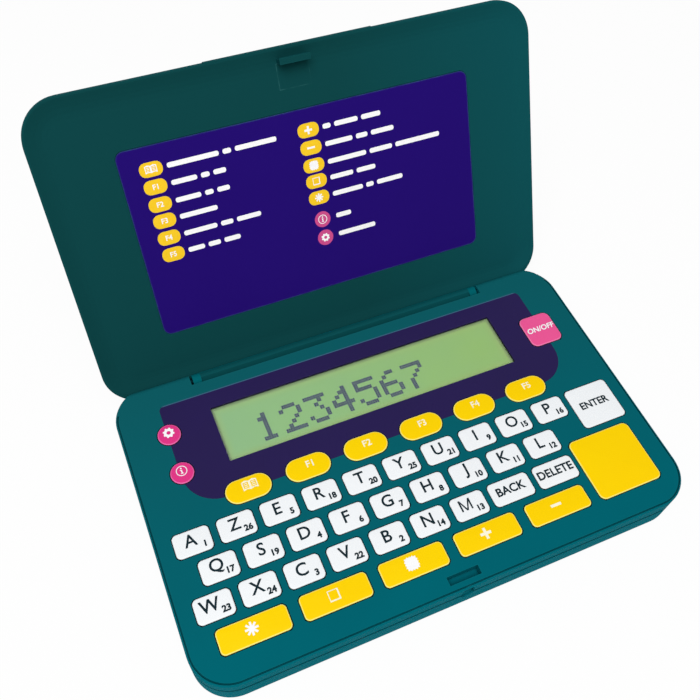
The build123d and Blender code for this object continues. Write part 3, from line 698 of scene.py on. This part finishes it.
# Key caps: hard moulded caps with rounded edges and a slight crown, each on a square
# flange that keeps it under the face. White letter keys and word keys, yellow game keys and
# pad, pink power, settings and information keys.
cap_tree, size = geometry_tree(
    "key cap",
    {
        "Width": 0.0091,
        "Depth": 0.00635,
        "Corner": 0.00125,
        "Place X": 0.0,
        "Place Y": 0.0,
        "Skirt Height": 0.0098,
        "Top Height": 0.012,
        "Edge": 0.00028,
        "Crown": 0.00005,
        "Flange": 0.0005,
        "Flange Base": 0.009,
        "Material": None,
    },
)
steps, rows = 7, 9
net = cap_tree.nodes.new("GeometryNodeMeshGrid")
feed(cap_tree, net, Vertices_X=4 * (steps + 1) + 1, Vertices_Y=rows)
index = cap_tree.nodes.new("GeometryNodeInputIndex").outputs[0]
column = math_node(cap_tree, "FLOOR", math_node(cap_tree, "DIVIDE", index, float(rows)))
row = difference(cap_tree, index, product(cap_tree, column, float(rows)))
quarter = math_node(cap_tree, "DIVIDE", total(cap_tree, column, 0.5), steps + 1.0)
quarter = math_node(cap_tree, "FLOOR", quarter)
step = difference(cap_tree, column, product(cap_tree, quarter, steps + 1.0))
turn = total(cap_tree, quarter, math_node(cap_tree, "DIVIDE", step, float(steps)))
turn = product(cap_tree, turn, math.pi / 2)
diagonal = product(cap_tree, total(cap_tree, quarter, 0.5), math.pi / 2)

foot_row, edge_row, ring_row, top_row = 0.0, 2.0, 7.0, 8.0
edge_steps, ring_share = 4.0, 0.35
over_edge = math_node(cap_tree, "MINIMUM", difference(cap_tree, row, edge_row), edge_steps)
over_edge = math_node(cap_tree, "MAXIMUM", over_edge, 0.0)
over_edge = product(cap_tree, over_edge, math.pi / 2 / edge_steps)
at_ring = math_node(cap_tree, "COMPARE", row, ring_row)
at_top = math_node(cap_tree, "COMPARE", row, top_row)
at_foot = math_node(cap_tree, "COMPARE", row, foot_row)
above_foot = math_node(cap_tree, "GREATER_THAN", row, edge_row - 0.5)
round_in = difference(cap_tree, 1.0, math_node(cap_tree, "COSINE", over_edge))
inset = product(cap_tree, size["Edge"], total(cap_tree, round_in, at_ring))
open_ring = difference(cap_tree, 1.0, total(cap_tree, at_top, at_foot))
fillet_rise = difference(cap_tree, math_node(cap_tree, "SINE", over_edge), 1.0)
fillet_rise = product(cap_tree, fillet_rise, size["Edge"])
crown_share = total(cap_tree, at_top, product(cap_tree, at_ring, ring_share))
crown_rise = product(cap_tree, difference(cap_tree, crown_share, 1.0), size["Crown"])
cap_rise = difference(cap_tree, size["Top Height"], size["Skirt Height"])
upper = total(cap_tree, total(cap_tree, fillet_rise, crown_rise), cap_rise)
height = total(cap_tree, size["Skirt Height"], product(cap_tree, upper, above_foot))
radius = difference(cap_tree, size["Corner"], inset)
plan = []
for side, wave, middle in (("Width", "COSINE", "Place X"), ("Depth", "SINE", "Place Y")):
    straight = difference(cap_tree, product(cap_tree, size[side], 0.5), size["Corner"])
    direction = math_node(cap_tree, "SIGN", math_node(cap_tree, wave, diagonal))
    reach = product(cap_tree, direction, straight)
    curve = product(cap_tree, radius, math_node(cap_tree, wave, turn))
    offset = product(cap_tree, total(cap_tree, reach, curve), open_ring)
    plan.append(total(cap_tree, offset, size[middle]))
wrapped = cap_tree.nodes.new("GeometryNodeSetPosition")
feed(cap_tree, wrapped, Geometry=net.outputs["Mesh"], Position=vector(cap_tree, *plan, height))
closed = cap_tree.nodes.new("GeometryNodeMergeByDistance")
feed(cap_tree, closed, Geometry=wrapped.outputs[0], Distance=0.0000005)

flange = cap_tree.nodes.new("GeometryNodeMeshCube")
both_sides = product(cap_tree, size["Flange"], 2.0)
flange_height = difference(cap_tree, size["Skirt Height"], size["Flange Base"])
flange_size = vector(
    cap_tree,
    total(cap_tree, size["Width"], both_sides),
    total(cap_tree, size["Depth"], both_sides),
    flange_height,
)
feed(cap_tree, flange, Size=flange_size)
flange_middle = total(cap_tree, size["Flange Base"], product(cap_tree, flange_height, 0.5))
under = shift(cap_tree, flange.outputs["Mesh"], size["Place X"], size["Place Y"], flange_middle)
cap_whole = cap_tree.nodes.new("GeometryNodeJoinGeometry")
cap_tree.links.new(closed.outputs[0], cap_whole.inputs[0])
cap_tree.links.new(under, cap_whole.inputs[0])
end_tree(cap_tree, cap_whole.outputs[0], size["Material"])


def cap_plastic(name, main, cloudy, worn, gloss=0.34, wear=0.5, shine=0.08, rim=None):
    """Finer and glossier than the case's plastic, with painted shade round the foot of the cap and a
    rim colour painted on as a highlight.
    """
    return moulded_plastic(
        name, main, cloudy, worn, gloss, relief=0.000004, wear=wear, shine=shine, crevice_shade_strength=1.0, rim=rim
    )


white_cap = cap_plastic(
    "white_key_plastic",
    shade(246, 249, 251),
    shade(243, 246, 248),
    shade(252, 252, 252),
    gloss=0.36,
    wear=0.4,
    shine=0.15,
)
yellow_cap = cap_plastic(
    "yellow_key_plastic",
    shade(255, 215, 0),
    shade(255, 211, 0),
    shade(255, 230, 90),
    gloss=0.36,
    rim=shade(255, 240, 130),
)
pink_cap = cap_plastic(
    "pink_key_plastic",
    shade(240, 92, 154),
    shade(237, 85, 148),
    shade(250, 140, 186),
    rim=shade(250, 130, 180),
)
deep_pink_cap = cap_plastic(
    "deep_pink_key_plastic",
    shade(230, 58, 136),
    shade(222, 54, 132),
    shade(246, 130, 184),
    rim=shade(240, 110, 174),
)

flange_reach = 0.0005
wide_keys = ["star", "square", "tile", "plus", "minus"]
pill_keys = ["look_up", "build", "place", "list", "score", "games"]
key_sets = [
    ([*"qwertyuiopasdfghjklzxcvbnm", "back", "delete", "enter"], 0.00125, white_cap, "key_white"),
    (wide_keys, 0.00125, yellow_cap, "key_yellow"),
    (pill_keys, 0.0032, yellow_cap, "key_yellow"),
    (["cursor_pad"], 0.0017, yellow_cap, "key_yellow"),
    (["power"], 0.0019, pink_cap, "key_pink"),
    (["settings", "info"], 0.003, deep_pink_cap, "key_pink"),
]
key_tops = {}
for names, corner, plastic, finish in key_sets:
    for name in names:
        low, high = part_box(f"key_{name}")
        middle = (low + high) / 2
        key_tops[name] = Vector((middle.x, middle.y, high.z))
        cap = grow(
            f"cap_{name}",
            cap_tree,
            {
                "Width": high.x - low.x - 2 * flange_reach,
                "Depth": high.y - low.y - 2 * flange_reach,
                "Corner": corner,
                "Place X": middle.x,
                "Place Y": middle.y,
                "Top Height": high.z,
                "Flange": flange_reach,
                "Flange Base": low.z,
                "Material": plastic,
            },
        )
        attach(cap, f"key_{name}")
        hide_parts(f"key_{name}")


# Key legends: thin pad-printed ink on the caps. Letters with small plain numbers, simple
# signs on the yellow and pink keys, dark words on the wide white keys.
ink_half = 0.008
cap_height_share = 0.682


def printed(drawing, middle=None):
    """A text or flat curve, drawn in millimetres, as a thin closed mesh centred on a point."""
    drawing.extrude = ink_half
    carrier = new_object("drawing", drawing)
    shape = plain_mesh(carrier)
    bpy.data.objects.remove(carrier)
    bpy.data.curves.remove(drawing)
    if middle is not None:
        xs = [vertex.co.x for vertex in shape.vertices]
        ys = [vertex.co.y for vertex in shape.vertices]
        here = Vector(((min(xs) + max(xs)) / 2, (min(ys) + max(ys)) / 2, 0))
        shape.transform(Matrix.Translation(Vector((*middle, 0)) - here))
    return shape


def word(letters, height, middle, bold=0.0, slant=0.0):
    """Plain type with capitals of the given height."""
    text = bpy.data.curves.new("word", "FONT")
    text.body = letters
    text.size = height / cap_height_share
    text.offset = bold
    text.shear = slant
    text.resolution_u = 4
    return printed(text, middle)


def sign(middle, *outlines):
    """A flat shape; an outline inside another cuts a hole in it."""
    drawing = bpy.data.curves.new("sign", "CURVE")
    drawing.dimensions = "2D"
    drawing.fill_mode = "BOTH"
    for outline in outlines:
        spline = drawing.splines.new("POLY")
        spline.points.add(len(outline) - 1)
        for point, (x, y) in zip(spline.points, outline):
            point.co = (x + middle[0], y + middle[1], 0.0, 1.0)
        spline.use_cyclic_u = True
    return printed(drawing)


def circle(radius, count=28, x=0.0, y=0.0):
    """Points round a circle."""
    angles = [2 * math.pi * k / count for k in range(count)]
    return [(x + radius * math.cos(a), y + radius * math.sin(a)) for a in angles]


def box_outline(width, height, x=0.0, y=0.0, corner=0.0):
    """Points round a rectangle, with rounded corners if asked."""
    outline = []
    for quarter in range(4):
        for k in range(5 if corner else 1):
            angle = math.pi / 2 * (quarter + k / 4)
            side_x = 1 if quarter in (0, 3) else -1
            side_y = 1 if quarter < 2 else -1
            outline.append(
                (
                    x + side_x * (width / 2 - corner) + corner * math.cos(angle),
                    y + side_y * (height / 2 - corner) + corner * math.sin(angle),
                )
            )
    return outline


def asterisk(arms, reach, half_width):
    """Points round a star of square-ended arms."""
    outline = []
    corner = half_width / math.sin(math.pi / arms)
    for k in range(arms):
        angle = 2 * math.pi * k / arms + math.pi / 2
        between = angle + math.pi / arms
        for side in (-half_width, half_width):
            outline.append(
                (
                    reach * math.cos(angle) - side * math.sin(angle),
                    reach * math.sin(angle) + side * math.cos(angle),
                )
            )
        outline.append((corner * math.cos(between), corner * math.sin(between)))
    return outline


def toothed(teeth, root, tip):
    """Points round a gear wheel."""
    outline = []
    for k in range(teeth):
        for share, radius in ((0.0, root), (0.22, root), (0.32, tip), (0.68, tip), (0.78, root)):
            angle = 2 * math.pi * (k + share) / teeth
            outline.append((radius * math.cos(angle), radius * math.sin(angle)))
    return outline


def stamp(waves, reach):
    """Points round a square stamp with a wavy edge."""
    outline = []
    for k in range(4 * waves):
        angle = math.pi * k / (2 * waves)
        across, along = math.cos(angle), math.sin(angle)
        radius = reach * (across**4 + along**4) ** -0.25
        radius *= 1.0 + 0.09 * math.cos(waves * angle)
        outline.append((radius * across, radius * along))
    return outline


def zigzag(width, height, stroke):
    """Points round a capital M: two posts, and two slanting strokes that meet at its foot."""
    half, top, foot = width / 2, height / 2, -height / 2
    slant = stroke * 1.12
    return [
        (-half, foot),
        (-half, top),
        (stroke - half, top),
        (0.0, foot + slant),
        (half - stroke, top),
        (half, top),
        (half, foot),
        (half - stroke, foot),
        (half - stroke, top - 1.7 * slant),
        (0.5 * stroke, foot),
        (-0.5 * stroke, foot),
        (stroke - half, top - 1.7 * slant),
        (stroke - half, foot),
    ]


def book(middle, width):
    """An open book: a cover with two page windows, each with three lines of text in it."""
    half, drop, tall = width / 2, width * 0.08, width * 0.62
    window_width, window_height = half * 0.7, tall * 0.68
    right = [
        (0.0, -tall / 2),
        (half * 0.5, drop - tall / 2),
        (half, -tall / 2),
        (half, tall / 2),
        (half * 0.5, tall / 2 + drop),
        (0.0, tall / 2),
    ]
    cover = right + [(-x, y) for x, y in reversed(right[1:5])]
    shapes, pages = [], []
    for side in (-1, 1):
        page_middle = (side * half * 0.5, drop / 2)
        pages.append(box_outline(window_width, window_height, *page_middle))
        for level in (-0.2, 0.0, 0.2):
            line_middle = (page_middle[0], tall * level + page_middle[1])
            shapes.append(sign(middle, box_outline(half * 0.44, tall * 0.09, *line_middle)))
    return [sign(middle, cover, *pages), *shapes]


def information(middle, scale):
    """A ring round a small letter i with serifs."""
    ring = sign(middle, circle(1.75 * scale), circle(1.5 * scale))
    half_stem, half_foot, serif, foot, top = 0.2, 0.48, 0.2, -1.0, 0.36
    stem = [
        (-half_foot, foot),
        (half_foot, foot),
        (half_foot, foot + serif),
        (half_stem, foot + serif),
        (half_stem, top),
        (-half_foot, top),
        (-half_foot, top - serif),
        (-half_stem, top - serif),
        (-half_stem, foot + serif),
        (-half_foot, foot + serif),
    ]
    stem = sign(middle, [(x * scale, y * scale) for x, y in stem])
    return [ring, stem, sign(middle, circle(0.27 * scale, 14, 0.0, 0.86 * scale))]


def marks_for(name, middle, scale):
    """The sign on a yellow or pink key, also used small on the lid's printed sheet."""
    if name == "look_up":
        return book(middle, 3.9 * scale)
    if name in pill_keys:
        return [word(f"F{pill_keys.index(name)}", 1.75 * scale, middle, 0.05 * scale)]
    if name == "star":
        return [sign(middle, asterisk(8, 1.6 * scale, 0.26 * scale))]
    if name == "square":
        inner = box_outline(2.15 * scale, 2.15 * scale, -0.08 * scale, 0.08 * scale)
        return [sign(middle, box_outline(2.7 * scale, 2.7 * scale), inner)]
    if name == "tile":
        return [sign(middle, stamp(16, 1.62 * scale))]
    if name == "plus":
        return [sign(middle, asterisk(4, 1.45 * scale, 0.36 * scale))]
    if name == "minus":
        return [sign(middle, box_outline(2.9 * scale, 0.72 * scale))]
    if name == "settings":
        return [sign(middle, toothed(8, 1.36 * scale, 1.65 * scale), circle(0.6 * scale, 20))]
    return information(middle, scale)


def lay_ink(name, prints, place, ink, body):
    """Joins thin prints into one piece, puts it in place and rides it on a body."""
    joined = bmesh.new()
    for shape in prints:
        joined.from_mesh(shape)
        bpy.data.meshes.remove(shape)
    bmesh.ops.remove_doubles(joined, verts=joined.verts, dist=0.0005)
    bmesh.ops.transform(joined, matrix=place @ Matrix.Scale(0.001, 4), verts=joined.verts)
    mesh = bpy.data.meshes.new(name)
    joined.to_mesh(mesh)
    joined.free()
    mesh.materials.append(ink)
    piece = new_object(name, mesh)
    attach(piece, body)
    return piece


def print_on_key(name, prints, ink):
    """Lays prints on the top of a key."""
    lay_ink(f"legend_{name}", prints, Matrix.Translation(key_tops[name]), ink, f"key_{name}")


def printing_ink(name, main, thin):
    """Pad-printed ink, a little uneven in its cover."""
    material, tree, shader = start_material(name)
    grains = place_group(tree, mould_grain, {"Grain Size": 0.00012, "Cloud Size": 0.0015})
    feed(tree, shader, Base_Color=blend_colour(tree, grains["Cloud"], main, thin))
    feed(tree, shader, Roughness=spread_out(tree, grains["Smudge"], 0.0, 1.0, 0.34, 0.48))
    feed(tree, shader, Normal=bumps(tree, 0.3, 0.000004, grains["Height"]))
    feed(tree, shader, Specular_IOR_Level=0.08)
    return material


dark_ink = printing_ink("dark_legend_ink", shade(12, 32, 40), shade(18, 40, 48))
pale_ink = printing_ink("pale_legend_ink", shade(255, 252, 232), shade(254, 246, 208))
white_ink = printing_ink("white_legend_ink", shade(255, 255, 255), shade(252, 250, 252))
letter_height, number_height, number_drop = 3.0, 1.45, -1.3
left, far_left, one_digit_x, two_digit_x = -0.45, -0.9, 2.75, 2.55
for place, name in enumerate("abcdefghijklmnopqrstuvwxyz"):
    middle = (far_left if name in "mw" else left, 0.55)
    if name == "m":
        letter = sign(middle, zigzag(3.1, letter_height, 0.43))
    else:
        letter = word(name.upper(), letter_height, middle, 0.06)
    number = str(place + 1)
    number_middle = (one_digit_x if len(number) == 1 else two_digit_x, number_drop)
    print_on_key(name, [letter, word(number, number_height, number_middle, 0.09)], dark_ink)
for name, height in (("back", 2.1), ("delete", 2.1), ("enter", 1.95)):
    print_on_key(name, [word(name.upper(), height, (0.0, 0.3), 0.08)], dark_ink)
for name in wide_keys + pill_keys:
    middle = (0.6, 0.7) if name in pill_keys else (-0.4, 0.35)
    ink = white_ink if name in ("star", "tile") else pale_ink
    print_on_key(name, marks_for(name, middle, 1.0), ink)
for name, scale in (("settings", 0.9), ("info", 0.81)):
    print_on_key(name, marks_for(name, (0.0, 0.5), scale), white_ink)
print_on_key("power", [word("ON/OFF", 1.6, (0.25, 0.25), 0.055, slant=0.15)], white_ink)


# Printed sheet in the lid: matt-laminated film in deep indigo, stuck in a shallow seat.
# It repeats the game keys as small badges, each with a line of plain bars beside it.
sheet, tree, shader = start_material("indigo_label_film")
grains = place_group(tree, mould_grain, {"Grain Size": 0.0003, "Cloud Size": 0.03})
# Painted highlight: a pale line along the film's edges.
film_edge_highlight = place_group(tree, edge_wear, {"Reach": 0.0005, "Patch Size": 0.003})["Mask"]
film = blend_colour(tree, grains["Cloud"], shade(34, 11, 109), shade(35, 12, 111))
film = blend_colour(tree, film_edge_highlight, film, shade(56, 92, 124))
normal = bumps(tree, 0.3, 0.000005, grains["Height"])
feed(tree, shader, Base_Color=film, Normal=normal, Specular_IOR_Level=0.03)
feed(tree, shader, Roughness=spread_out(tree, grains["Smudge"], 0.0, 1.0, 0.36, 0.46))
coat("lid_label", sheet)

sheet_level, mark_lift = 0.0125, 0.000012
sheet_middle = hinge + (hinge.y * up) - (sheet_level - hinge.z) * facing
on_sheet = Matrix(
    (
        (1.0, up.x, facing.x, sheet_middle.x),
        (0.0, up.y, facing.y, sheet_middle.y),
        (0.0, up.z, facing.z, sheet_middle.z),
        (0.0, 0.0, 0.0, 1.0),
    )
)
left_badge, right_badge = -39.1, 1.27
badges = {
    "look_up": (left_badge, 19.35, (12, 2, 10)),
    "build": (left_badge, 14.95, (6, 2, 3)),
    "place": (left_badge, 10.44, (6, 2, 3)),
    "list": (left_badge, 6.15, (9,)),
    "score": (left_badge, 1.64, (8, 3, 6)),
    "games": (left_badge, -2.87, (4, 3, 4)),
    "plus": (right_badge, 19.46, (2, 6, 5)),
    "minus": (right_badge, 14.95, (7, 3, 6)),
    "tile": (right_badge, 10.28, (10, 6, 12)),
    "square": (right_badge, 6.04, (6, 5)),
    "star": (right_badge, 1.53, (8, 2, 7)),
    "info": (right_badge, -4.58, (4,)),
    "settings": (right_badge, -9.8, (10,)),
}
yellow_badges, pink_badges, white_bars, badge_marks = [], [], [], []
first_bar, bar_height, letter_width, word_gap = 3.9, 1.25, 1.08, 1.0
for name, (x, y, words) in badges.items():
    if name in ("info", "settings"):
        pink_badges.append(sign((x, y), circle(2.2, 32)))
    else:
        yellow_badges.append(sign((x, y), box_outline(5.7, 3.6, corner=1.6)))
    badge_marks += marks_for(name, (x, y), 0.75 if name == "look_up" else 0.72)
    start = x + first_bar
    for letters in words:
        length = letters * letter_width
        bar = box_outline(length, bar_height, corner=0.5)
        white_bars.append(sign((start + length / 2, y), bar))
        start += length + word_gap
yellow_ink = printing_ink("yellow_label_ink", shade(251, 206, 44), shade(249, 202, 36))
pink_ink = printing_ink("pink_label_ink", shade(208, 80, 141), shade(203, 75, 137))
raised = Matrix.Translation(facing * mark_lift)
for name, prints, ink, place in (
    ("label_yellow_badges", yellow_badges, yellow_ink, on_sheet),
    ("label_pink_badges", pink_badges, pink_ink, on_sheet),
    ("label_word_bars", white_bars, white_ink, on_sheet),
    ("label_badge_marks", badge_marks, white_ink, raised @ on_sheet),
):
    lay_ink(name, prints, place, ink, "lid")


# Studio: a pale floor that keeps the object's soft shadow, a wide lamp overhead, a weak
# even sky, and the camera.
def backdrop_rays(tree):
    """Mask of the rays that see the backdrop: straight, in a reflection or through the window."""
    path = tree.nodes.new("ShaderNodeLightPath").outputs
    seen = math_node(tree, "MAXIMUM", path["Is Camera Ray"], path["Is Glossy Ray"])
    return math_node(tree, "MAXIMUM", seen, path["Is Transmission Ray"])


half_floor, floor_level = 4.0, -0.00005
corners = [(half_floor * x, half_floor * y) for x, y in ((-1, -1), (1, -1), (1, 1), (-1, 1))]
floor_mesh = bpy.data.meshes.new("floor")
floor_mesh.from_pydata([(x, y, floor_level) for x, y in corners], [], [(0, 1, 2, 3)])
floor = new_object("floor", floor_mesh)
pale, tree, shader = start_material("pale_floor")
feed(tree, shader, Base_Color=(0.9, 0.9, 0.9, 1.0), Roughness=0.9, Specular_IOR_Level=0.0)
lifted = feed(tree, tree.nodes.new("ShaderNodeEmission"), Color=(1.0, 1.0, 1.0, 1.0), Strength=1.0)
whiteness = product(tree, backdrop_rays(tree), 0.93)
whiten = tree.nodes.new("ShaderNodeMixShader")
feed(tree, whiten, _0=whiteness, _1=shader.outputs[0], _2=lifted.outputs[0])
tree.links.new(whiten.outputs[0], tree.nodes["Material Output"].inputs["Surface"])
floor_mesh.materials.append(pale)

sky = bpy.data.worlds.new("sky")
bpy.context.scene.world = sky
sky.use_nodes = True
tree = sky.node_tree
strength = spread_out(tree, backdrop_rays(tree), 0.0, 1.0, 0.25)
feed(tree, tree.nodes["Background"], Color=(1.0, 1.0, 1.0, 1.0), Strength=strength)

lamp_place, light_level = Vector((-0.26, -0.38, 1.0)), 0.84
lamp = bpy.data.lights.new("overhead", "AREA")
lamp.shape = "SQUARE"
lamp.size = 0.8
lamp.energy = light_level * math.pi**2 * lamp_place.length**3 / lamp_place.z
overhead = new_object("overhead", lamp)
overhead.location = lamp_place
overhead.rotation_euler = lamp_place.to_track_quat("Z", "Y").to_euler()

lens = bpy.data.cameras.new("camera")
lens.lens = 42.117
lens.sensor_width = 36.0
camera = new_object("camera", lens)
camera.matrix_world = Matrix(
    (
        (0.91881, 0.299035, -0.2576165, -0.058718),
        (-0.3915605, 0.7727365, -0.4995584, -0.082351),
        (0.0496842, 0.5598717, 0.8270884, 0.200022),
        (0.0, 0.0, 0.0, 1.0),
    )
)
lens.clip_start = 0.01
bpy.context.scene.camera = camera
bpy.context.scene.view_settings.view_transform = "Standard"
